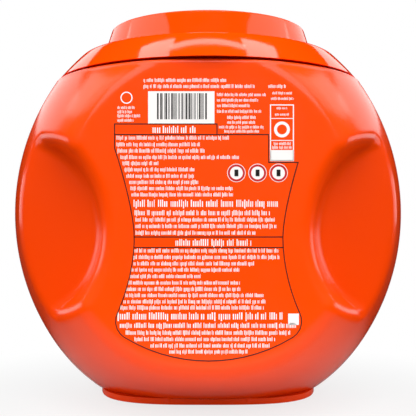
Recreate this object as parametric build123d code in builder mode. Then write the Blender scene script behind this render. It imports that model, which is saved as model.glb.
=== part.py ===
from build123d import *
import math
import os

# A lidded plastic tub: a bowl turned to a round side outline, pressed flat front and back,
# with a finger grip cut into each corner, a low foot and a lift-off lid with a round boss.
# X is the width, Y the depth and Z up, in millimetres, standing on the XY plane.

# Bowl
tub_height = 186.0  # top of the shoulder, under the lid's edge
belly_radius = 118.0  # half the width at the widest ring
belly_lift = 15.0  # from half the tub's height up to the widest ring
shoulder_radius = 93.7  # where the side outline ends under the lid
base_radius = 70.4  # where the side outline ends over the foot
panel_depth = 88.5  # from the axis to each flat panel
panel_round = 14.0  # rounding of the panels' edges
tub_wall = 1.5
shoulder_wall = 2.2
rim_round = 1.2  # eased outer edge of the shoulder

# Tuck of the bowl towards the foot, front and back
tuck_height = 40.0  # below this the bowl draws in
tuck_share = 0.35
tuck_power = 2.55
corner_gain = 0.2  # how much squarer the bowl's outline gets at the foot

# Foot
foot_width = 65.1  # half sizes of the foot's outline
foot_depth = 49.6
foot_square = 3.2  # power of the foot's flattened oval
foot_height = 3.7
foot_bevel = 0.6
foot_band = 5.0  # width of the ring that touches the floor
foot_recess = 2.6  # how far the base stands up inside that ring
base_wall = 2.2

# Finger grips: a sloping floor inside a round flared wall
grip_radius = 58.0  # of the crease between floor and wall, where the grip is deepest
grip_inset = 2.0  # from the widest ring in to the centre of that round
grip_drop = 9.0  # from the widest ring's height down to that centre
grip_depth = 14.5  # from the panel to the floor at the deepest point
grip_floor_fall = 22.8  # degrees that the floor turns away to the side
grip_flare = 20.0  # degrees that the wall leans out
grip_round = 8.0  # rounding of the grip's outer edges

# Neck that the lid drops over
neck_inset = 21.7  # from the shoulder's edge in to the neck
neck_wall = 2.0
neck_height = 12.0
neck_lip = 0.8  # bead round the mouth
neck_lip_height = 2.4

# Lid
seam_gap = 1.7  # open joint between shoulder and lid
lid_wall = 2.0
dome_arc = 71.3
boss_foot_radius = 63.0  # round boss that a hand holds
boss_radius = 60.3
boss_height = 9.3  # from the boss's foot on the dome up to its rim
boss_crown = 0.8  # rise of the boss's top over its rim
boss_round = 4.0
boss_crease = 1.6
skirt_wall = 1.8
neck_clearance = 0.5
seat_clearance = 0.3

# Clear film label on the flat panel that faces the viewer
label_film = 0.15
label_top_gap = 8.0  # from the shoulder's top down to the label
label_width = 49.5  # half width above and below the waist
label_waist = 40.0  # half width level with the grips
label_waist_reach = 43.0  # from the waist to where the sides run straight
label_hip = 7.6  # straight side under the waist
label_sag = 15.2  # from that side's end down to the lowest point
label_corner = 24.0
label_bend = 10.0
label_hip_round = 7.0

section_count = 15
points_round = 24

belly_height = tub_height / 2 + belly_lift
grip_height = belly_height - grip_drop
grip_side = belly_radius - grip_inset
grip_floor_depth = panel_depth - grip_depth
neck_radius = shoulder_radius - neck_inset


def side_arc(rise, draw):
    # Radius of an arc that leaves the widest ring upright and draws in over a height.
    return (rise**2 + draw**2) / (2 * draw)


upper_arc = side_arc(tub_height - belly_height, belly_radius - shoulder_radius)
lower_arc = side_arc(belly_height - foot_height, belly_radius - base_radius)


def bowl_radius(height, inset):
    # Half width of the turned bowl, inset along its normal.
    rise = height - belly_height
    arc = upper_arc if rise > 0 else lower_arc
    return belly_radius - arc + math.sqrt((arc - inset) ** 2 - rise**2)


def oval(width, depth, power):
    # A face inside a flattened oval, as one closed curve with even spacing.
    points = []
    for step in range(points_round):
        turn = 2 * math.pi * step / points_round
        across = (abs(math.cos(turn)) / width) ** power
        along = (abs(math.sin(turn)) / depth) ** power
        radius = (across + along) ** (-1 / power)
        points.append((radius * math.cos(turn), radius * math.sin(turn)))
    spacing = [step / points_round for step in range(points_round + 1)]
    with BuildSketch() as sketch:
        with BuildLine():
            add(Edge.make_spline(points, periodic=True, parameters=spacing))
        make_face()
    return sketch.sketch


def bowl_section(height, inset):
    # The bowl's outline at one height: round, and drawn in front and back near the foot.
    low = max(tuck_height - height, 0.0) / tuck_height
    width = bowl_radius(height, inset)
    depth = width * (1 - tuck_share * low**tuck_power)
    return oval(width, depth, 2 + corner_gain * low**2)


def grip_cutter(inset):
    # The four spaces that the finger grips take out of the bowl, grown by the inset.
    fall = math.radians(grip_floor_fall)
    deepest = grip_side - grip_radius
    away = Vector(math.sin(fall), -math.cos(fall), 0)
    seat = Vector(deepest, -grip_floor_depth, grip_height) - away * inset
    floor = Plane(origin=seat, x_dir=(math.cos(fall), math.sin(fall), 0), z_dir=away)
    lean = math.tan(math.radians(grip_flare))
    back = grip_radius * math.tan(fall)
    start = grip_radius + inset / math.cos(math.radians(grip_flare)) - back * lean
    with BuildPart() as cutter:
        with BuildSketch(Plane.XZ.offset(grip_floor_depth - back)):
            with Locations((grip_side, grip_height)):
                Circle(start)
        extrude(amount=back + grip_radius, taper=-grip_flare)
        split(bisect_by=floor, keep=Keep.TOP)
        mirror(about=Plane.YZ)
        mirror(about=Plane.XZ)
    return cutter.part


def tub_form(bottom, top, inset):
    # Bowl, panels and grips between two heights, inset by a wall's thickness.
    cutter = grip_cutter(inset)
    with BuildPart() as form:
        for step in range(section_count + 1):
            height = bottom + (top - bottom) * step / section_count
            with BuildSketch(Plane.XY.offset(height)):
                add(bowl_section(height, inset))
        loft()
        Box(4 * belly_radius, 2 * (panel_depth - inset), 4 * top, mode=Mode.INTERSECT)
        panels = form.faces().filter_by(Axis.Y).edges()
        fillet([edge for edge in panels if edge.geom_type != GeomType.LINE], panel_round - inset)
        add(cutter, mode=Mode.SUBTRACT)
        walls = form.faces().filter_by(GeomType.CONE).edges()
        floors = form.faces().filter_by(GeomType.PLANE).filter_by(is_grip_floor).edges()
        fillet([edge for edge in form.edges() if (edge in walls) != (edge in floors)], grip_round - inset)
    return form.part


def is_grip_floor(face):
    # A grip's floor is the only flat face turned part way round the upright axis.
    normal = face.normal_at()
    return min(abs(normal.X), abs(normal.Y)) > 0.1


shoulder_under = tub_height - shoulder_wall
floor_height = foot_recess + base_wall
mouth_height = tub_height + neck_height
outer_form = tub_form(foot_height, tub_height, 0.0)
inner_form = tub_form(floor_height, shoulder_under, tub_wall)

with BuildPart() as case:
    add(outer_form)
    fillet(case.edges().group_by(Axis.Z)[-1], rim_round)
    with BuildSketch(Plane.XY):
        add(oval(foot_width, foot_depth, foot_square))
    extrude(amount=foot_height)
    chamfer(case.edges().group_by(Axis.Z)[0], foot_bevel)
    with BuildSketch(Plane.XY):
        add(oval(foot_width - foot_band, foot_depth - foot_band, foot_square))
    extrude(amount=foot_recess, mode=Mode.SUBTRACT)
    with BuildSketch(Plane.XY.offset(shoulder_under)):
        Circle(neck_radius)
    extrude(amount=mouth_height - shoulder_under)
    with BuildSketch(Plane.XY.offset(mouth_height - neck_lip_height)):
        Circle(neck_radius + neck_lip)
    extrude(amount=neck_lip_height)

with BuildPart() as hollow:
    add(inner_form)
    with BuildSketch(Plane.XY.offset(shoulder_under)):
        Circle(neck_radius - neck_wall)
    extrude(amount=mouth_height - shoulder_under)

# The moulded wall: outside and inside skins joined round the mouth.
outside_skin = case.faces().sort_by(Axis.Z)
inside_skin = hollow.faces().sort_by(Axis.Z)
mouth_ring = outside_skin[-1].make_holes([inside_skin[-1].outer_wire()])

with BuildPart() as tub:
    add(Solid(Shell([*outside_skin[:-1], *inside_skin[:-1], mouth_ring])))

tub.part.label = "tub"

seam_height = tub_height + seam_gap
seam_radius = bowl_radius(seam_height, 0.0)
normal_across = (seam_radius + upper_arc - belly_radius) / upper_arc
normal_up = (seam_height - belly_height) / upper_arc
dome_side = seam_radius - dome_arc * normal_across  # centre of the dome's arc
dome_height = seam_height - dome_arc * normal_up


def dome_rise(radius, inset):
    # Height of the dome at a distance from the axis.
    return dome_height + math.sqrt((dome_arc - inset) ** 2 - (radius - dome_side) ** 2)


def lid_form(inset):
    # Dome and boss of the lid as one turned solid.
    arc = dome_arc - inset
    edge = (dome_side + math.sqrt(arc**2 - (seam_height - dome_height) ** 2), seam_height)
    boss_foot = (boss_foot_radius - inset, dome_rise(boss_foot_radius - inset, inset))
    middle = (edge[0] + boss_foot[0]) / 2
    rim_height = dome_rise(boss_foot_radius, 0.0) + boss_height - inset
    rim = (boss_radius - inset, rim_height)
    crown = (0.0, rim_height + boss_crown)
    crown_radius = (rim[0] ** 2 + boss_crown**2) / (2 * boss_crown)
    with BuildPart() as form:
        with BuildSketch(Plane.XZ) as profile:
            with BuildLine():
                Line((0.0, seam_height), edge)
                ThreePointArc(edge, (middle, dome_rise(middle, inset)), boss_foot)
                Line(boss_foot, rim)
                RadiusArc(rim, crown, -crown_radius)
                Line(crown, (0.0, seam_height))
            make_face()
            if not inset:
                fillet(profile.vertices().sort_by_distance(rim)[0], boss_round)
                fillet(profile.vertices().sort_by_distance(boss_foot)[0], boss_crease)
        revolve(axis=Axis.Z)
    return form.part


lid_outer = lid_form(0.0)
lid_inner = lid_form(lid_wall)
skirt_inside = neck_radius + neck_lip + neck_clearance
skirt_outside = skirt_inside + skirt_wall
skirt_foot = tub_height + seat_clearance

with BuildPart() as lid:
    add(lid_outer)
    add(lid_inner, mode=Mode.SUBTRACT)
    with BuildSketch(Plane.XY.offset(skirt_foot)):
        Circle(skirt_outside)
        Circle(skirt_inside, mode=Mode.SUBTRACT)
    extrude(amount=dome_rise(skirt_outside, lid_wall / 2) - skirt_foot)

lid.part.label = "lid"

label_top = tub_height - label_top_gap
label_shoulder = grip_height + label_waist_reach
label_knee = grip_height - label_waist_reach
label_turn = label_knee - label_hip
label_bottom = label_turn - label_sag
label_side = label_top - label_shoulder
label_bottom_arc = side_arc(label_width, label_sag)

label_corners = [
    (label_top, min(label_corner, label_side - label_bend / 2)),
    (label_shoulder, label_bend),
    (label_knee, label_bend),
    (label_turn, label_hip_round),
]

with BuildPart() as back_label:
    with BuildSketch(Plane.XZ.offset(panel_depth)) as film:
        with BuildLine():
            top = Line((0.0, label_top), (label_width, label_top))
            side = Line(top @ 1, (label_width, label_shoulder))
            waist = ThreePointArc(side @ 1, (label_waist, grip_height), (label_width, label_knee))
            hip = Line(waist @ 1, (label_width, label_turn))
            RadiusArc(hip @ 1, (0.0, label_bottom), label_bottom_arc)
            mirror(about=Plane.YZ)
        make_face()
        for height, radius in label_corners:
            for side in (-label_width, label_width):
                fillet(film.vertices().sort_by_distance((side, height))[0], radius)
    extrude(amount=label_film)

back_label.part.label = "back_label"

os.makedirs("parts", exist_ok=True)
export_step(tub.part, "parts/tub.step")
export_step(lid.part, "parts/lid.step")
export_step(back_label.part, "parts/back_label.step")
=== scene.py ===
import math
import random

import bpy
import numpy as np
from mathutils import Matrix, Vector


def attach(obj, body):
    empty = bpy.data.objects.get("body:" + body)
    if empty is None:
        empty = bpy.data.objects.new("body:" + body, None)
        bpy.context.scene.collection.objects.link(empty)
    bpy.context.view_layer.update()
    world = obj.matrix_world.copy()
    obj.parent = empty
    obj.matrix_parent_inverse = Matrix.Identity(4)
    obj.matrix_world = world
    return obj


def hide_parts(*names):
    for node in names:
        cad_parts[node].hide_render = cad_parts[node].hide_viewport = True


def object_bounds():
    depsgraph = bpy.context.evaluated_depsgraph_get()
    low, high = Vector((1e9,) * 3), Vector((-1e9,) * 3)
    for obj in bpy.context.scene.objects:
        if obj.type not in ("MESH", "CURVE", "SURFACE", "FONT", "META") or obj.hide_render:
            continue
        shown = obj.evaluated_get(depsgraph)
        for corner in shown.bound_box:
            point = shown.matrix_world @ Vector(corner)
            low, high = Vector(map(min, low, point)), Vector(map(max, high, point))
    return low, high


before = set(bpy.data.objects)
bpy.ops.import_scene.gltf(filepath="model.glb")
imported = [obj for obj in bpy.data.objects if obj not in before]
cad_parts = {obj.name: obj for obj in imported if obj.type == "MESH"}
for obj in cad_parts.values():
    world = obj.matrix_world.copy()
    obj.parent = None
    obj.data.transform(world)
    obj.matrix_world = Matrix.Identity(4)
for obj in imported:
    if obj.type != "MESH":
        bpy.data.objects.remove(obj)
cadLow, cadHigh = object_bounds()
mm = 0.001
joinGap, smoothDegrees = 0.01, 40  # mm within which points join, and the edge angle that still shades smooth


def linear(hexColour):
    # sRGB hex to the linear colour that a shader socket takes
    channels = [int(hexColour[i:i + 2], 16) / 255 for i in (1, 3, 5)]
    curved = [c / 12.92 if c <= 0.04045 else ((c + 0.055) / 1.055) ** 2.4 for c in channels]
    return (*curved, 1.0)


def addNode(tree, kind, links=(), **settings):
    # links are (own input, other node, its output); settings with a socket's name set its value
    node = tree.nodes.new(kind)
    for name, value in settings.items():
        socket = node.inputs.get(name.replace("_", " "))
        if socket is None:
            setattr(node, name, value)
        else:
            socket.default_value = value
    for ownInput, other, output in links:
        tree.links.new(other.outputs[output], node.inputs[ownInput])
    return node


def newMaterial(name):
    material = bpy.data.materials.new(name)
    material.use_nodes = True
    material.node_tree.nodes.clear()
    return material, material.node_tree


def finishMaterial(tree, shader, output="BSDF"):
    addNode(tree, "ShaderNodeOutputMaterial", [("Surface", shader, output)])


def deselectAll():
    bpy.ops.object.select_all(action="DESELECT")


def dress(piece, material, body):
    piece.data.materials.clear()
    piece.data.materials.append(material)
    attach(piece, body)


def newGrid(name, columns, rows):
    # a flat grid from -1 to 1 with its points as an array
    deselectAll()
    bpy.ops.mesh.primitive_grid_add(x_subdivisions=columns, y_subdivisions=rows, size=2.0)
    piece = bpy.context.object
    piece.name = piece.data.name = name
    flat = np.zeros(len(piece.data.vertices) * 3)
    piece.data.vertices.foreach_get("co", flat)
    return piece, flat.reshape(-1, 3)


def wrapGrid(name, columns, rows, place):
    # a grid wrapped round the upright axis; place gives each row's and turn's x, y, z in mm
    piece, flat = newGrid(name, columns, rows - 1)
    turn = (flat[:, 0] + 1) * math.pi
    row = np.rint((flat[:, 1] + 1) / 2 * (rows - 1)).astype(int)
    placed = place(turn, row) * mm
    piece.data.vertices.foreach_set("co", placed.ravel())
    bpy.ops.object.mode_set(mode="EDIT")
    bpy.ops.mesh.select_all(action="SELECT")
    bpy.ops.mesh.remove_doubles(threshold=joinGap * mm)
    bpy.ops.mesh.normals_make_consistent(inside=False)
    bpy.ops.object.mode_set(mode="OBJECT")
    bpy.ops.object.shade_smooth_by_angle(angle=math.radians(smoothDegrees))
    return piece


# The tub: a bowl pressed flat front and back with four finger grips, in mm and degrees

tub = {
    "height": 186.7, "frontRise": 1.0, "bellyRadius": 118.0, "bellyHeight": 108.0, "shoulderRadius": 93.7,
    "baseRadius": 70.4, "panelDepth": 88.5, "panelRound": 14.0,
    "wall": 1.5, "shoulderWall": 2.2, "baseWall": 2.2, "rimRound": 1.2, "rimStepDegrees": 18,
    "tuckHeight": 40.0, "tuckShare": 0.35, "tuckPower": 2.55, "cornerGain": 0.2,
    "footWidth": 65.1, "footDepth": 49.6, "footSquare": 3.2, "footHeight": 3.7, "footBevel": 0.6,
    "bevelShare": 0.3, "footBand": 5.0, "footRecess": 2.6, "footEase": 0.1, "recessEase": 0.3,
    "gripRadius": 58.0, "gripSide": 116.0, "gripHeight": 99.0, "gripFloor": 74.0, "gripFall": 22.8,
    "gripFlare": 20.0, "gripRound": 8.0, "gripCrease": 2.6,
    "neckRadius": 72.0, "neckWall": 2.0, "neckHeight": 12.0, "neckLip": 0.8, "neckLipHeight": 2.4,
    "lipRound": 0.5, "lipUnder": 0.4, "lipDraft": 0.1, "neckFillet": 0.8, "neckEase": 0.6,
    "columns": 360, "gather": 0.42, "insideRows": 44, "outsideRows": 128,
    "floorShares": (0.0, 0.3, 0.6, 0.85, 0.95), "underShares": (0.8, 0.4, 0.0),
    "shoulderShares": (0.25, 0.5, 0.75), "baseShares": (0.9, 0.5, 0.0),
    "searchFrom": 20.0, "searchTo": 140.0, "searchSteps": 34,
    "slopeStep": 0.05, "leastSlope": 1e-9, "leastRound": 1e-4,
}


def sideArc(rise, draw):
    return (rise ** 2 + draw ** 2) / (2 * draw)


upperArc = sideArc(tub["height"] - tub["bellyHeight"], tub["bellyRadius"] - tub["shoulderRadius"])
lowerArc = sideArc(tub["bellyHeight"] - tub["footHeight"], tub["bellyRadius"] - tub["baseRadius"])


def ovalRadius(turn, width, depth, power):
    across = (np.abs(np.cos(turn)) / width) ** power
    along = (np.abs(np.sin(turn)) / depth) ** power
    return (across + along) ** (-1 / power)


def bowlDistance(x, y, z):
    # how far a point stands out of the turned and tucked bowl
    rise = z - tub["bellyHeight"]
    arc = np.where(rise > 0, upperArc, lowerArc)
    reach = np.sqrt(np.maximum(arc ** 2 - rise ** 2, 1.0))
    width = tub["bellyRadius"] - arc + reach
    low = np.maximum(tub["tuckHeight"] - z, 0) / tub["tuckHeight"]
    depth = width * (1 - tub["tuckShare"] * low ** tub["tuckPower"])
    radius = ovalRadius(np.arctan2(y, x), width, depth, 2 + tub["cornerGain"] * low ** 2)
    return (np.hypot(x, y) - radius) * reach / arc


def panelDistance(x, y, z):
    return np.abs(y) - tub["panelDepth"]


def gripFloorDistance(x, y, z):
    fall = math.radians(tub["gripFall"])
    deepest = tub["gripSide"] - tub["gripRadius"]
    return math.sin(fall) * (np.abs(x) - deepest) + math.cos(fall) * (np.abs(y) - tub["gripFloor"])


def gripWallDistance(x, y, z):
    flare = math.radians(tub["gripFlare"])
    radius = tub["gripRadius"] + (np.abs(y) - tub["gripFloor"]) * math.tan(flare)
    return (radius - np.hypot(np.abs(x) - tub["gripSide"], z - tub["gripHeight"])) * math.cos(flare)


def gripDistance(x, y, z):
    # floor and wall meet in a soft crease
    floor = gripFloorDistance(x, y, z)
    wall = gripWallDistance(x, y, z)
    k = tub["gripCrease"]
    hollow = np.hypot(np.maximum(k - floor, 0), np.maximum(k - wall, 0))
    return np.maximum(k, np.minimum(floor, wall)) - hollow


def slope(field, x, y, z):
    # the direction in which a distance grows, with its length made 1
    step = tub["slopeStep"]
    parts = [
        field(x + step, y, z) - field(x - step, y, z),
        field(x, y + step, z) - field(x, y - step, z),
        field(x, y, z + step) - field(x, y, z - step),
    ]
    size = np.sqrt(parts[0] ** 2 + parts[1] ** 2 + parts[2] ** 2) + tub["leastSlope"]
    return [part / size for part in parts]


def roundEdge(a, b, k):
    # the higher of two distances, with the edge between them rounded
    return np.minimum(-k, np.maximum(a, b)) + np.hypot(np.maximum(a + k, 0), np.maximum(b + k, 0))


def edgeSize(first, second, radius, x, y, z):
    # a rolling ball of one radius leaves less rounding where two faces meet at a flat angle
    one, two = slope(first, x, y, z), slope(second, x, y, z)
    facing = np.clip(sum(p * q for p, q in zip(one, two)), -1, 1)
    return np.maximum(radius * (1 - facing), tub["leastRound"])


def solveRadius(distance, low, high):
    for _ in range(tub["searchSteps"]):
        middle = (low + high) / 2
        outside = distance(middle) > 0
        high = np.where(outside, middle, high)
        low = np.where(outside, low, middle)
    return (low + high) / 2


def wallRadius(turn, z, inset):
    # radius of the pressed bowl at a turn and height
    cosine, sine = np.cos(turn), np.sin(turn)
    low, high = np.full_like(turn, tub["searchFrom"]), np.full_like(turn, tub["searchTo"])

    def sharp(r):
        x, y = r * cosine, r * sine
        body = np.maximum(bowlDistance(x, y, z), panelDistance(x, y, z))
        return np.maximum(body, gripDistance(x, y, z))

    start = solveRadius(sharp, low, high)
    x, y = start * cosine, start * sine
    panelEdge = edgeSize(bowlDistance, panelDistance, tub["panelRound"], x, y, z)

    def body(x, y, z):
        return roundEdge(bowlDistance(x, y, z), panelDistance(x, y, z), panelEdge)

    gripEdge = edgeSize(body, gripDistance, tub["gripRound"], x, y, z)

    def soft(r):
        x, y = r * cosine, r * sine
        return roundEdge(body(x, y, z), gripDistance(x, y, z), gripEdge) + inset

    return solveRadius(soft, low, high)


def tubRows():
    # one row per ring, as (shape, share of the way from its inner radius, inner radius, height, inset)
    rows = []
    top, wall = tub["height"], tub["wall"]
    floor = tub["footRecess"] + tub["baseWall"]
    under = top - tub["shoulderWall"]
    mouth = top + tub["neckHeight"]
    lipFoot = mouth - tub["neckLipHeight"]
    neck, neckInside = tub["neckRadius"], tub["neckRadius"] - tub["neckWall"]
    lip = neck + tub["neckLip"]
    lipRound, lipUnder, fillet = tub["lipRound"], tub["lipUnder"], tub["neckFillet"]

    # inside, from the middle of the floor up to the mouth
    for share in tub["floorShares"]:
        rows.append(("wall", share, 0.0, floor, wall))
    for height in np.linspace(floor, under, tub["insideRows"]):
        rows.append(("wall", 1.0, 0.0, height, wall))
    for share in tub["underShares"]:
        rows.append(("wall", share, neckInside, under, wall))
    for height in (under + tub["neckEase"], top, mouth - lipRound):
        rows.append(("round", 1.0, neckInside, height, 0.0))

    # over the lip and down the neck
    ring = [
        (neckInside + lipRound, mouth), (lip - lipRound, mouth), (lip, mouth - lipRound),
        (lip, lipFoot + lipUnder), (lip - lipUnder, lipFoot), (neck + tub["lipDraft"], lipFoot - lipUnder),
        (neck, lipFoot - fillet), (neck, top + fillet), (neck + fillet, top),
    ]
    for radius, height in ring:
        rows.append(("round", 1.0, radius, height, 0.0))

    # across the shoulder, round the rim and down the outside
    start = top - tub["rimRound"]
    for share in tub["shoulderShares"]:
        rows.append(("rim", share, neck + fillet, top, tub["rimRound"]))
    for angle in range(90, 0, -tub["rimStepDegrees"]):
        bend = math.radians(angle)
        inset = tub["rimRound"] * (1 - math.cos(bend))
        rows.append(("rim", 1.0, 0.0, start + tub["rimRound"] * math.sin(bend), inset))
    for height in np.linspace(start, tub["footHeight"], tub["outsideRows"]):
        rows.append(("wall", 1.0, 0.0, height, 0.0))

    # foot, standing band and recessed base
    bevel, band, inner = tub["footBevel"], tub["footBand"], tub["footBand"] + tub["recessEase"]
    part = bevel * tub["bevelShare"]
    foot = [
        (tub["footHeight"] - tub["footEase"], 0.0), (bevel * 2, 0.0), (bevel, 0.0), (part, part),
        (0.0, bevel), (0.0, band), (tub["recessEase"], band + tub["footEase"]), (tub["footRecess"], inner),
    ]
    for height, inset in foot:
        rows.append(("foot", 1.0, 0.0, height, inset))
    for share in tub["baseShares"]:
        rows.append(("foot", share, 0.0, tub["footRecess"], inner))
    return rows


def placeTub(turn, row):
    turn = turn + tub["gather"] / 4 * np.sin(4 * turn)  # columns gather at the grips
    rows = tubRows()
    shape = np.array([r[0] for r in rows])[row]
    share, inner, height, inset = (np.array([r[i] for r in rows])[row] for i in (1, 2, 3, 4))
    outer = inner.copy()
    wall = shape == "wall"
    outer[wall] = wallRadius(turn[wall], height[wall], inset[wall])
    rim = shape == "rim"
    edge = np.full_like(height[rim], tub["height"] - tub["rimRound"])
    outer[rim] = wallRadius(turn[rim], edge, inset[rim])
    flatness = (tub["shoulderRadius"] - outer[rim]) / (tub["shoulderRadius"] - tub["panelDepth"])
    height[rim] += tub["frontRise"] * flatness * share[rim]  # the rim stands a little higher over the panels
    foot = shape == "foot"
    outer[foot] = ovalRadius(
        turn[foot], tub["footWidth"] - inset[foot], tub["footDepth"] - inset[foot], tub["footSquare"]
    )
    radius = inner + (outer - inner) * share
    return np.stack([radius * np.cos(turn), radius * np.sin(turn), height], axis=1)


tubSkin = wrapGrid("tubSkin", tub["columns"], len(tubRows()), placeTub)
print("tub skin", len(tubSkin.data.polygons), "faces")


# The lid: dome, boss and the skirt inside, turned in one piece, in mm and degrees

lid = {
    "seamGap": 1.85, "wall": 1.3, "seamRadius": 91.85, "domeTilt": 39.9, "domeArc": 170.6, "domeTurn": 46.0,
    "shoulderArc": 10.0, "bossFoot": 65.9, "bossRadius": 60.1, "bossTop": 220.4, "bossCrown": 0.9,
    "bossRound": 1.2, "rimRun": 6.5, "bossCrease": 0.8, "creaseRun": 1.5,
    "edgeRound": 0.5, "edgeTuck": 0.1, "edgeDrop": 0.25, "edgeFlat": 0.35, "edgeEase": 0.2,
    "skirtWall": 1.8, "neckClearance": 0.5, "seatClearance": 0.3,
    "insideEase": 0.3, "rootEase": 0.4, "turnEase": 0.6, "roofRun": 3.0,
    "columns": 288, "crownRows": 9, "rimSteps": 12, "bossShares": (0.6, 0.4, 0.25), "creaseSteps": 6,
    "domeRows": 40, "insideRows": 14, "underRows": 7, "roofRows": 6,
}


def corner(before, point, after, radius, steps):
    # points along a rounded corner between two straight runs
    start, end = np.array(before, float) - point, np.array(after, float) - point
    start, end = start / np.linalg.norm(start), end / np.linalg.norm(end)
    half = math.acos(float(np.clip(start @ end, -1, 1))) / 2
    middle = (start + end) / np.linalg.norm(start + end)
    centre = np.array(point, float) + middle * radius / math.sin(half)
    reach = radius / math.tan(half)
    first, last = point + start * reach - centre, point + end * reach - centre
    points = []
    for step in range(steps + 1):
        t = step / steps
        arm = first * (1 - t) + last * t
        points.append(tuple(centre + arm / np.linalg.norm(arm) * radius))
    return points


def lidOutline():
    # the dome carries on the bowl's long arc, then turns over a small one down to the boss
    seam, seamRadius, wall = tub["height"] + lid["seamGap"], lid["seamRadius"], lid["wall"]
    tilt, over = math.radians(lid["domeTilt"]), math.radians(lid["domeTurn"])
    long, short = lid["domeArc"], lid["shoulderArc"]
    longSide, longMiddle = seamRadius - long * math.cos(tilt), seam - long * math.sin(tilt)
    shortSide = longSide + (long - short) * math.cos(over)
    shortMiddle = longMiddle + (long - short) * math.sin(over)

    def dome(radius, inset):
        if radius > shortSide + (short - inset) * math.cos(over):
            return longMiddle + math.sqrt((long - inset) ** 2 - (radius - longSide) ** 2)
        return shortMiddle + math.sqrt((short - inset) ** 2 - (radius - shortSide) ** 2)

    foot = lid["bossFoot"]
    bossFoot = np.array((foot, dome(foot, 0.0)))
    rim = np.array((lid["bossRadius"], lid["bossTop"]))
    bow = (rim[0] ** 2 + lid["bossCrown"] ** 2) / (2 * lid["bossCrown"])

    def crown(radius, inset):
        return rim[1] + lid["bossCrown"] - bow + math.sqrt(bow ** 2 - radius ** 2) - inset

    # outside, from the middle of the boss down to the seam
    crownEnd = rim[0] - lid["rimRun"]
    domeStart = foot + lid["creaseRun"]
    domeEnd = seamRadius - lid["edgeRound"]
    beforeRim = (crownEnd, crown(crownEnd, 0.0))
    afterFoot = (domeStart, dome(domeStart, 0.0))
    points = [(radius, crown(radius, 0.0)) for radius in np.linspace(0.0, crownEnd, lid["crownRows"])]
    points += corner(beforeRim, rim, bossFoot, lid["bossRound"], lid["rimSteps"])
    points += [tuple(bossFoot + (rim - bossFoot) * share) for share in lid["bossShares"]]
    points += corner(tuple(rim), bossFoot, afterFoot, lid["bossCrease"], lid["creaseSteps"])
    points += [(radius, dome(radius, 0.0)) for radius in np.linspace(domeStart, domeEnd, lid["domeRows"])]

    # the lower edge and the dome's inside as far as the skirt
    edgeInside = longSide + math.sqrt((long - wall) ** 2 - (seam - longMiddle) ** 2)
    skirtInside = tub["neckRadius"] + tub["neckLip"] + lid["neckClearance"]
    skirtOutside = skirtInside + lid["skirtWall"]
    skirtFoot = tub["height"] + lid["seatClearance"]
    ease, root = lid["insideEase"], lid["rootEase"]
    points.append((seamRadius - lid["edgeTuck"], seam + (dome(domeEnd, 0.0) - seam) * lid["edgeDrop"]))
    points.append((seamRadius - lid["edgeFlat"], seam))
    points.append((edgeInside + lid["edgeEase"], seam))
    points.append((edgeInside, seam + lid["edgeEase"]))
    inward = np.linspace(edgeInside - lid["turnEase"], skirtOutside + ease, lid["insideRows"])
    points += [(radius, dome(radius, wall)) for radius in inward]

    # down and up the skirt, under the dome and up inside the boss
    points += [(skirtOutside, dome(skirtOutside, wall) - root), (skirtOutside, skirtFoot + ease)]
    points += [(skirtOutside - ease, skirtFoot), (skirtInside + ease, skirtFoot)]
    points += [(skirtInside, skirtFoot + ease), (skirtInside, dome(skirtInside, wall) - ease)]
    under = np.linspace(skirtInside - root, foot, lid["underRows"])
    points += [(radius, dome(radius, wall)) for radius in under]
    points.append((foot - wall, dome(foot, wall) + lid["turnEase"]))
    points += [(rim[0] - wall, rim[1] - wall - ease), (rim[0] - wall - ease, rim[1] - wall)]
    roof = np.linspace(rim[0] - wall - lid["roofRun"], 0.0, lid["roofRows"])
    points += [(radius, crown(radius, wall)) for radius in roof]
    return np.array(points, float)


lidProfile = lidOutline()


def placeLid(turn, row):
    radius, height = lidProfile[row, 0], lidProfile[row, 1]
    return np.stack([radius * np.cos(turn), radius * np.sin(turn), height], axis=1)


lidSkin = wrapGrid("lidSkin", lid["columns"], len(lidProfile), placeLid)
print("lid skin", len(lidSkin.data.polygons), "faces")


# Print on the film, as plain strokes, lines and discs; places are (across, up) on the panel in mm

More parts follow.
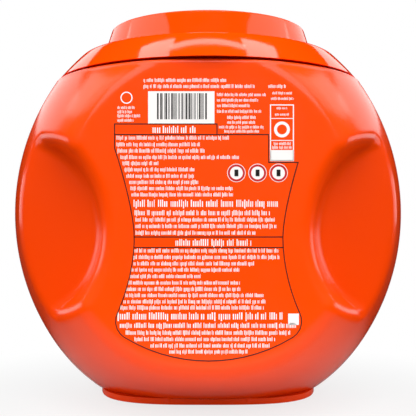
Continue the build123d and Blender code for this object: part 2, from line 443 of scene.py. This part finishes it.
printed = {
    "front": 88.65, "layer": 0.06, "line": 0.55, "thinShare": 0.7, "seed": 11,
    "stroke": 0.16, "strokeSpread": (0.7, 1.25), "gap": 0.14, "wordGap": 0.42, "gapSpread": (0.8, 1.2),
    "firstWord": (2, 8), "laterWord": (2, 9), "tailShare": 0.08, "lowShare": 0.62, "letterStep": 0.22,
    "rows": [  # height of the middle, left end, right end, stroke height
        (147.2, -46.7, 11.0, 2.0), (143.8, -46.7, -3.8, 2.0), (140.6, -46.2, -1.8, 2.1),
        (137.3, -44.7, 16.1, 2.0), (134.2, -43.6, -25.3, 2.0), (131.0, -42.6, -6.9, 2.0),
        (127.7, -41.6, -6.9, 2.0), (124.6, -40.1, -4.8, 2.1), (121.4, -39.6, 12.5, 2.0),
        (118.2, -39.0, 13.0, 2.0), (113.7, -38.0, 36.5, 3.6), (108.9, -37.5, 31.9, 2.6),
        (105.4, -37.0, 34.5, 2.1), (102.1, -37.0, 35.5, 2.1), (98.7, -37.0, 24.2, 2.1),
        (89.6, -37.5, 36.5, 2.1), (86.3, -38.0, 37.0, 2.1), (83.0, -38.0, 24.2, 2.1),
        (79.8, -39.0, 16.1, 2.0), (76.5, -39.6, -3.8, 2.0), (73.2, -40.6, 16.6, 2.0),
        (70.0, -41.6, 17.6, 2.1), (66.8, -42.1, 29.3, 2.0), (63.6, -43.1, 29.9, 2.1),
        (60.5, -44.7, 28.8, 2.1), (56.2, -46.2, 38.6, 3.6), (51.4, -45.0, 45.0, 2.6),
        (47.7, -42.0, 42.0, 2.2), (44.4, -37.5, 34.5, 2.1), (41.1, -29.3, 31.4, 2.1),
        (38.0, -19.7, 20.2, 2.0), (151.4, -28.3, -5.9, 3.6), (93.7, -16.6, 22.7, 3.4),
        (176.6, -32.9, 9.4, 1.9), (173.5, -32.9, 24.2, 1.9), (173.5, 30.9, 40.1, 1.8),
        (169.2, 4.6, 29.6, 1.6), (166.4, 4.6, 25.8, 1.6), (163.6, 4.6, 21.8, 1.6),
        (160.7, 4.6, 27.8, 1.6), (157.6, 9.8, 24.5, 1.6), (155.1, 9.8, 24.5, 1.6),
        (152.7, 5.6, 28.8, 1.6), (150.5, 8.4, 26.4, 1.5), (162.6, -46.2, -37.4, 1.5),
        (160.5, -46.2, -38.6, 1.5), (158.4, -46.2, -34.4, 1.5), (156.1, -46.2, -37.8, 1.5),
        (170.0, 32.9, 43.2, 1.4), (167.2, 32.2, 43.9, 1.4), (162.3, 35.0, 40.6, 1.2),
        (159.1, 34.2, 41.4, 1.2), (144.2, 33.6, 42.2, 1.5), (142.3, 32.8, 42.9, 1.5),
    ],
    "outlineTop": 154.2, "outlineFoot": 33.2, "outlineMiddle": 0.3, "bottomArc": 82.7, "chinHalf": 42.8,
    "flankHalf": 48.0, "flankFoot": 141.9, "flankEnd": 58.0, "flankBend": 1.45,
    "waistHalf": 37.9, "waistHeight": 97.2, "stepHeight": 134.6, "outlineSteps": 15,
    "hipHalf": 50.1, "hipHeight": 50.1, "hipRound": 9.5, "hipBend": 2.0, "hipSteps": 5,
    "topSteps": [(31.0, 134.6), (31.0, 148.8), (4.6, 148.8), (4.6, 154.2)],
    "rules": [((-47.7, 148.8), (4.6, 148.8)), ((-37.7, 96.5), (38.5, 96.5)), ((-37.7, 91.1), (38.5, 91.1))],
    "block": (-30.6, 154.4, 3.3, 170.9), "bars": (-26.0, 156.6, -0.6, 169.9), "barCount": 28,
    "barWidths": (1, 1, 2, 3), "square": (40.9, 51.6, 46.4, 57.4), "seal": (-41.6, 167.6), "sealRadius": 2.8,
    "tile": (31.9, 135.5, 43.6, 163.9), "tileFoot": (31.9, 135.5, 43.6, 140.9), "tileRules": (157.0, 145.8),
    "tileRing": (37.75, 151.4), "tileRingRadius": 3.3, "tileRingLine": 1.5,
    "discs": [(14.5, 129.2), (25.3, 129.2), (36.0, 129.2)], "discRadius": 4.7, "discMark": (2.0, 3.4),
    "discRing": 1.1, "ringInset": 0.78, "circleSteps": 40,
}


def flatGrid(name, across, up, keep, layer):
    # a flat grid on the film; across and up place its corners, keep says which cells stay
    rows, columns = len(across) - 1, len(across[0]) - 1
    piece, flat = newGrid(name, columns, rows)
    column = np.rint((flat[:, 0] + 1) / 2 * columns).astype(int)
    row = np.rint((flat[:, 1] + 1) / 2 * rows).astype(int)
    front = np.full(len(flat), -printed["front"] - layer * printed["layer"])
    placed = np.stack([across[row, column], front, up[row, column]], axis=1) * mm
    piece.data.vertices.foreach_set("co", placed.ravel())
    bpy.ops.object.mode_set(mode="EDIT")
    bpy.ops.mesh.select_mode(type="FACE")
    bpy.ops.mesh.select_all(action="DESELECT")
    bpy.ops.object.mode_set(mode="OBJECT")
    for face in piece.data.polygons:
        corners = list(face.vertices)
        face.select = not keep[row[corners].min(), column[corners].min()]
    bpy.ops.object.mode_set(mode="EDIT")
    bpy.ops.mesh.delete(type="FACE")
    bpy.ops.mesh.select_mode(type="VERT")
    bpy.ops.object.mode_set(mode="OBJECT")
    return piece


def printedBox(name, box, layer):
    across = np.array([[box[0], box[2]], [box[0], box[2]]])
    up = np.array([[box[1], box[1]], [box[3], box[3]]])
    return flatGrid(name, across, up, np.ones((1, 1), bool), layer)


def printedLine(name, path, width, layer, closed):
    # a line of one width along a path, mitred at its corners
    path = np.array(path, float)
    if closed:
        path = np.concatenate([path, path[:1]])
    run = np.diff(path, axis=0)
    run /= np.linalg.norm(run, axis=1, keepdims=True)
    side = np.stack([run[:, 1], -run[:, 0]], axis=1)
    before, after = np.concatenate([side[:1], side]), np.concatenate([side, side[-1:]])
    if closed:
        before[0], after[-1] = side[-1], side[0]
    mitre = (before + after) / (1 + np.sum(before * after, axis=1, keepdims=True))
    left, right = path - mitre * width / 2, path + mitre * width / 2
    across, up = np.stack([right[:, 0], left[:, 0]]), np.stack([right[:, 1], left[:, 1]])
    return flatGrid(name, across, up, np.ones((1, len(path) - 1), bool), layer)


def circlePath(middle, radius):
    steps = printed["circleSteps"]
    turns = [2 * math.pi * step / steps for step in range(steps)]
    return [(middle[0] + radius * math.cos(t), middle[1] + radius * math.sin(t)) for t in turns]


def boxPath(box):
    return [(box[0], box[1]), (box[2], box[1]), (box[2], box[3]), (box[0], box[3])]


def outlineHalf(height):
    # half the width inside the outline: in to the waist from above, out again to the hips
    waist = printed["waistHeight"]
    if height > waist:
        share = (height - waist) / (printed["flankFoot"] - waist)
        end, bend = printed["flankHalf"], printed["flankBend"]
    else:
        share = (waist - height) / (waist - printed["hipHeight"])
        end, bend = printed["hipHalf"], printed["hipBend"]
    return printed["waistHalf"] + (end - printed["waistHalf"]) * share ** bend


def outlinePath():
    # down the left flank, round the hips and the arc below, up the right flank and over the stepped top
    middle, chin, steps = printed["outlineMiddle"], printed["chinHalf"], printed["outlineSteps"]
    arc = printed["bottomArc"]

    def bottom(across):
        return printed["outlineFoot"] + arc - math.sqrt(arc ** 2 - across ** 2)

    flankEnd = (outlineHalf(printed["flankEnd"]), printed["flankEnd"])
    hip = np.array((printed["hipHalf"], printed["hipHeight"]))
    hips = corner(flankEnd, hip, (chin, bottom(chin)), printed["hipRound"], printed["hipSteps"])
    down = np.linspace(printed["flankFoot"], printed["flankEnd"], steps)
    up = np.linspace(printed["flankEnd"], printed["stepHeight"], steps)
    path = [(middle - printed["flankHalf"], printed["outlineTop"])]
    path += [(middle - outlineHalf(height), height) for height in down]
    path += [(middle - across, height) for across, height in hips]
    path += [(middle + across, bottom(across)) for across in np.linspace(-chin, chin, steps)]
    path += [(middle + across, height) for across, height in reversed(hips)]
    path += [(middle + outlineHalf(height), height) for height in up]
    return path + printed["topSteps"]


def printedDisc(name, middle, radius, layer):
    deselectAll()
    bpy.ops.mesh.primitive_circle_add(vertices=printed["circleSteps"], radius=radius * mm, fill_type="NGON")
    piece = bpy.context.object
    piece.name = piece.data.name = name
    front = -printed["front"] - layer * printed["layer"]
    bpy.ops.object.mode_set(mode="EDIT")
    bpy.ops.mesh.select_all(action="SELECT")
    bpy.ops.transform.rotate(value=math.pi / 2, orient_axis="X", center_override=(0, 0, 0))
    bpy.ops.transform.translate(value=(middle[0] * mm, front * mm, middle[1] * mm))
    bpy.ops.object.mode_set(mode="OBJECT")
    return piece


def strokeRow(dice, left, right, tall):
    # edges of upright strokes in word-like groups, as pairs along one row
    edges = []
    place = left
    letters = dice.randint(*printed["firstWord"])
    while True:
        wide = tall * printed["stroke"] * dice.uniform(*printed["strokeSpread"])
        if place + wide > right:
            return edges
        edges.append((place, place + wide))
        letters -= 1
        gap = printed["gap"]
        if letters == 0:
            letters = dice.randint(*printed["laterWord"])
            gap = printed["wordGap"]
        place += wide + tall * gap * dice.uniform(*printed["gapSpread"])


def printedRows():
    # all rows in one grid; a few strokes have tails, and most stop short of the row's full height
    dice = random.Random(printed["seed"])
    rows = sorted(printed["rows"])
    strokes = [strokeRow(dice, left, right, tall) for middle, left, right, tall in rows]
    most = max(len(row) for row in strokes)
    across, up = np.zeros((len(rows) * 2, most * 2)), np.zeros((len(rows) * 2, most * 2))
    keep = np.zeros((len(rows) * 2 - 1, most * 2 - 1), bool)
    for index, (middle, left, right, tall) in enumerate(rows):
        low, high = index * 2, index * 2 + 1
        for step in range(most):
            start, end = strokes[index][min(step, len(strokes[index]) - 1)]
            tail = (dice.random() < printed["tailShare"]) * tall * printed["letterStep"]
            short = (dice.random() < printed["lowShare"]) * tall * printed["letterStep"]
            across[low:high + 1, step * 2] = start
            across[low:high + 1, step * 2 + 1] = end
            up[low, step * 2:step * 2 + 2] = middle - tall / 2 - tail
            up[high, step * 2:step * 2 + 2] = middle + tall / 2 - short
            keep[low, step * 2] = step < len(strokes[index])
    return flatGrid("printStrokes", across, up, keep, 1)


def printedBars():
    dice = random.Random(printed["seed"])
    left, low, right, high = printed["bars"]
    widths = [dice.choice(printed["barWidths"]) for _ in range(printed["barCount"] * 2 - 1)]
    edges = left + np.concatenate([[0], np.cumsum(widths)]) * (right - left) / sum(widths)
    across = np.stack([edges, edges])
    up = np.stack([np.full(len(edges), low), np.full(len(edges), high)])
    keep = np.array([[step % 2 == 0 for step in range(len(widths))]])
    return flatGrid("printBars", across, up, keep, 2)


def joined(name, pieces):
    deselectAll()
    for piece in pieces:
        piece.select_set(True)
    bpy.context.view_layer.objects.active = pieces[0]
    bpy.ops.object.join()
    pieces[0].name = pieces[0].data.name = name
    return pieces[0]


line = printed["line"]
tileRing = circlePath(printed["tileRing"], printed["tileRingRadius"])
whitePieces = [
    printedRows(),
    printedBox("printBlock", printed["block"], 1),
    printedBox("printSquare", printed["square"], 1),
    printedBox("tileFoot", printed["tileFoot"], 1),
    printedLine("tileEdge", boxPath(printed["tile"]), line, 1, True),
    printedLine("tileRing", tileRing, printed["tileRingLine"], 1, True),
    printedLine("printSeal", circlePath(printed["seal"], printed["sealRadius"]), line, 1, True),
]
for height in printed["tileRules"]:
    ends = [(printed["tile"][0], height), (printed["tile"][2], height)]
    whitePieces.append(printedLine("tileRule", ends, line * printed["thinShare"], 1, False))
for middle in printed["discs"]:
    whitePieces.append(printedDisc("printDisc", middle, printed["discRadius"], 1))
printWhite = joined("printWhite", whitePieces)

darkPieces = [printedLine("printOutline", outlinePath(), line, 1, True)]
for ends in printed["rules"]:
    darkPieces.append(printedLine("printRule", ends, line, 1, False))
printDark = joined("printDark", darkPieces)

blackPieces = [printedBars()]
redPieces = []
wide, tall = printed["discMark"]
ring = printed["discRing"]
for middle in printed["discs"]:
    mark = (middle[0] - wide / 2, middle[1] - tall / 2, middle[0] + wide / 2, middle[1] + tall / 2)
    blackPieces.append(printedBox("discMark", mark, 2))
    path = circlePath(middle, printed["discRadius"] - ring * printed["ringInset"])
    redPieces.append(printedLine("discRing", path, ring, 2, True))
printBlack = joined("printBlack", blackPieces)
printRed = joined("printRed", redPieces)
prints = (printWhite, printDark, printRed, printBlack)
print("print", sum(len(piece.data.polygons) for piece in prints), "faces")


# Materials

noiseRange = (0.3, 0.7)  # most of a noise texture's values lie between these
plastic = {
    # the second tub colour is painted shade for the grips and sides, not a colour of the plastic
    "tub": "#ff4800", "paintedShade": "#f04100", "lid": "#ff4500", "film": "#ff4800",
    "tubGloss": 0.18, "lidGloss": 0.07, "filmGloss": 0.2, "glossSpread": 0.02, "index": 1.4,
    "peel": 9.0, "peelDetail": 2.0, "peelStrength": 0.25, "tubPeel": 0.03, "lidPeel": 0.015, "filmPeel": 0.01,
    # painted shade in the tub colour is full out to the first distance and gone by the second
    "paintedShadeTo": 66.0, "flatFrom": 86.5,  # mm from the middle, front to back
}


def mouldedPlastic(name, colour, gloss, depth, paintedShade=None):
    # moulded polyolefin: even saturated colour, wide soft reflections, a faint orange peel in them; given a
    # second colour, it takes painted shade that darkens it away from the flat panels
    material, tree = newMaterial(name)
    place = addNode(tree, "ShaderNodeTexCoord")
    wave = addNode(
        tree, "ShaderNodeTexNoise", [("Vector", place, "Object")],
        Scale=1 / (plastic["peel"] * mm), Detail=plastic["peelDetail"],
    )
    bump = addNode(
        tree, "ShaderNodeBump", [("Height", wave, "Fac")],
        Strength=plastic["peelStrength"], Distance=depth * mm,
    )
    rough = addNode(
        tree, "ShaderNodeMapRange", [("Value", wave, "Fac")], From_Min=noiseRange[0], From_Max=noiseRange[1],
        To_Min=gloss - plastic["glossSpread"], To_Max=gloss + plastic["glossSpread"],
    )
    shader = addNode(
        tree, "ShaderNodeBsdfPrincipled", [("Normal", bump, "Normal"), ("Roughness", rough, "Result")],
        Base_Color=linear(colour), IOR=plastic["index"],
    )
    if paintedShade:
        # painted shade: the colour darkens from the flat panels towards the grips and sides, standing in for
        # the shade in the recesses
        parts = addNode(tree, "ShaderNodeSeparateXYZ", [("Vector", place, "Object")])
        depthIn = addNode(tree, "ShaderNodeMath", [(0, parts, "Y")], operation="ABSOLUTE")
        flatness = addNode(
            tree, "ShaderNodeMapRange", [("Value", depthIn, "Value")], interpolation_type="SMOOTHSTEP",
            From_Min=plastic["paintedShadeTo"] * mm, From_Max=plastic["flatFrom"] * mm,
        )
        tone = addNode(tree, "ShaderNodeValToRGB", [("Fac", flatness, "Result")])
        tone.color_ramp.elements[0].color = linear(paintedShade)
        tone.color_ramp.elements[1].color = linear(colour)
        tree.links.new(tone.outputs["Color"], shader.inputs["Base Color"])
    finishMaterial(tree, shader)
    return material


ink = {
    "white": "#f6f2ef", "dark": "#3a1206", "red": "#c80f14", "black": "#0e0a09",
    "speck": 0.8, "speckDetail": 3.0, "leastRough": 0.36, "mostRough": 0.46,
}


def printInk(name, colour):
    # screen ink on film: flat colour, a little thin in places, duller than the film
    material, tree = newMaterial(name)
    place = addNode(tree, "ShaderNodeTexCoord")
    speck = addNode(
        tree, "ShaderNodeTexNoise", [("Vector", place, "Object")],
        Scale=1 / (ink["speck"] * mm), Detail=ink["speckDetail"],
    )
    rough = addNode(
        tree, "ShaderNodeMapRange", [("Value", speck, "Fac")], From_Min=noiseRange[0], From_Max=noiseRange[1],
        To_Min=ink["leastRough"], To_Max=ink["mostRough"],
    )
    shader = addNode(
        tree, "ShaderNodeBsdfPrincipled", [("Roughness", rough, "Result")], Base_Color=linear(colour)
    )
    finishMaterial(tree, shader)
    return material


# the tub takes painted shade over its grips and sides
tubPlastic = mouldedPlastic(
    "hdpeBlowMoulded", plastic["tub"], plastic["tubGloss"], plastic["tubPeel"], plastic["paintedShade"]
)
lidPlastic = mouldedPlastic("polypropyleneMoulded", plastic["lid"], plastic["lidGloss"], plastic["lidPeel"])
filmPlastic = mouldedPlastic("polypropyleneFilm", plastic["film"], plastic["filmGloss"], plastic["filmPeel"])

dress(printWhite, printInk("screenInkWhite", ink["white"]), "tub")
dress(printDark, printInk("screenInkDark", ink["dark"]), "tub")
dress(printRed, printInk("screenInkRed", ink["red"]), "tub")
dress(printBlack, printInk("screenInkBlack", ink["black"]), "tub")

dress(tubSkin, tubPlastic, "tub")
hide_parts("tub")
dress(lidSkin, lidPlastic, "lid")
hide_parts("lid")
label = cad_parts["back_label"]
label.data.materials.clear()
label.data.materials.append(filmPlastic)
print("materials", len(bpy.data.materials))


# Floor, light and camera, in metres and degrees

studio = {
    # the floor's two colours are a painted pool of light in front of the tub and painted shade further off
    "floorSize": 6.0, "floorPaintedPool": "#c8c8c8", "floorPaintedDark": "#202020", "shadowShare": 0.75,
    "bright": (0.0, 0.11, 0.0), "nearEnd": 0.06, "farStart": 0.26, "ambient": 0.85,
    "panels": [  # name, turn round from the viewer, rise, distance, size, level
        ("panelFill", 0, 36, 1.3, (1.7, 0.56), 3.0),  # too high for the flat panel to mirror it
        ("panelKey", 0, 64, 1.2, (0.7, 0.3), 8.0),
        ("panelTop", 180, 85.5, 0.89, (0.42, 0.055), 4.4),  # the pale crescent on the dome
    ],
    "sidePanels": [  # the same, one to the left and one to the right
        ("panelTop", 108, 70, 0.94, (0.2, 0.2), 4.4),  # the crescent's wide ends
        ("panelFront", 78, 42, 1.0, (0.95, 0.3), 2.0),  # the pale sides of the boss and shoulder
        ("panel", 104, 3, 1.0, (0.7, 0.2), 2.0),
        ("panelBack", 130, 28, 1.0, (0.8, 0.4), 1.5),
        ("panelRim", 168, 6, 1.0, (0.36, 0.24), 0.4),
    ],
}

deselectAll()
bpy.ops.mesh.primitive_plane_add(size=studio["floorSize"])
floor = bpy.context.object
floor.name = "floor"

# matte board with a painted pool of light in front of the tub and painted shade further off, which the tub
# mirrors and takes back from below; to the eye it is pale with a soft shadow near the tub and plain white
# further off
floorPaint, tree = newMaterial("matteBoardPaintedPool")
place = addNode(tree, "ShaderNodeTexCoord")
shifted = addNode(tree, "ShaderNodeMapping", [("Vector", place, "Object")], Location=studio["bright"])
away = addNode(tree, "ShaderNodeVectorMath", [(0, shifted, "Vector")], operation="LENGTH")
spread = addNode(
    tree, "ShaderNodeMapRange", [("Value", away, "Value")], interpolation_type="SMOOTHSTEP",
    From_Min=studio["nearEnd"], From_Max=studio["farStart"],
)
tone = addNode(tree, "ShaderNodeValToRGB", [("Fac", spread, "Result")])
tone.color_ramp.elements[0].color = linear(studio["floorPaintedPool"])
tone.color_ramp.elements[1].color = linear(studio["floorPaintedDark"])
board = addNode(tree, "ShaderNodeBsdfDiffuse", [("Color", tone, "Color")])
glow = addNode(tree, "ShaderNodeEmission", Color=(1, 1, 1, 1), Strength=1.0)
rays = addNode(tree, "ShaderNodeLightPath")
seen = addNode(
    tree, "ShaderNodeMapRange", [("Value", spread, "Result")], To_Min=studio["shadowShare"], To_Max=1.0
)
share = addNode(
    tree, "ShaderNodeMath", [(0, rays, "Is Camera Ray"), (1, seen, "Result")], operation="MULTIPLY"
)
mixed = addNode(
    tree, "ShaderNodeMixShader", [("Fac", share, "Value"), (1, board, "BSDF"), (2, glow, "Emission")]
)
finishMaterial(tree, mixed, "Shader")
floor.data.materials.append(floorPaint)

world = bpy.data.worlds.new("studioWorld")
bpy.context.scene.world = world
world.use_nodes = True
tree = world.node_tree
tree.nodes.clear()
rays = addNode(tree, "ShaderNodeLightPath")
level = addNode(
    tree, "ShaderNodeMapRange", [("Value", rays, "Is Camera Ray")], To_Min=studio["ambient"], To_Max=1.0
)
sky = addNode(tree, "ShaderNodeBackground", [("Strength", level, "Result")], Color=(1, 1, 1, 1))
addNode(tree, "ShaderNodeOutputWorld", [("Surface", sky, "Background")])
world.cycles_visibility.glossy = False  # the room is dark round the panels, so only they show in the gloss


def softPanel(name, turn, rise, away, size, level):
    # a soft panel aimed at the tub's middle
    around, up = math.radians(turn), math.radians(rise)
    middle = Vector((0.0, 0.0, cadHigh[2] / 2))
    arm = Vector((math.sin(around) * math.cos(up), -math.cos(around) * math.cos(up), math.sin(up)))
    deselectAll()
    bpy.ops.object.light_add(
        type="AREA", location=middle + arm * away, rotation=arm.to_track_quat("Z", "Y").to_euler()
    )
    lamp = bpy.context.object
    lamp.name = name
    lamp.data.shape = "RECTANGLE"
    lamp.data.size, lamp.data.size_y = size
    lamp.data.energy = level * math.pi * size[0] * size[1]
    lamp.visible_camera = False


for panel in studio["panels"]:
    softPanel(*panel)
for side, sideName in ((-1, "Left"), (1, "Right")):
    for name, turn, *rest in studio["sidePanels"]:
        softPanel(name + sideName, side * turn, *rest)
print("studio", len(bpy.data.lights), "panels")

camera = {"distance": 0.459, "height": 0.1113, "fieldDegrees": 32.0, "nearest": 0.01}
deselectAll()
bpy.ops.object.camera_add(location=(0.0, -camera["distance"], camera["height"]), rotation=(math.pi / 2, 0, 0))
lens = bpy.context.object
lens.data.angle = math.radians(camera["fieldDegrees"])
lens.data.clip_start = camera["nearest"]
bpy.context.scene.camera = lens
bpy.context.scene.view_settings.view_transform = "Standard"
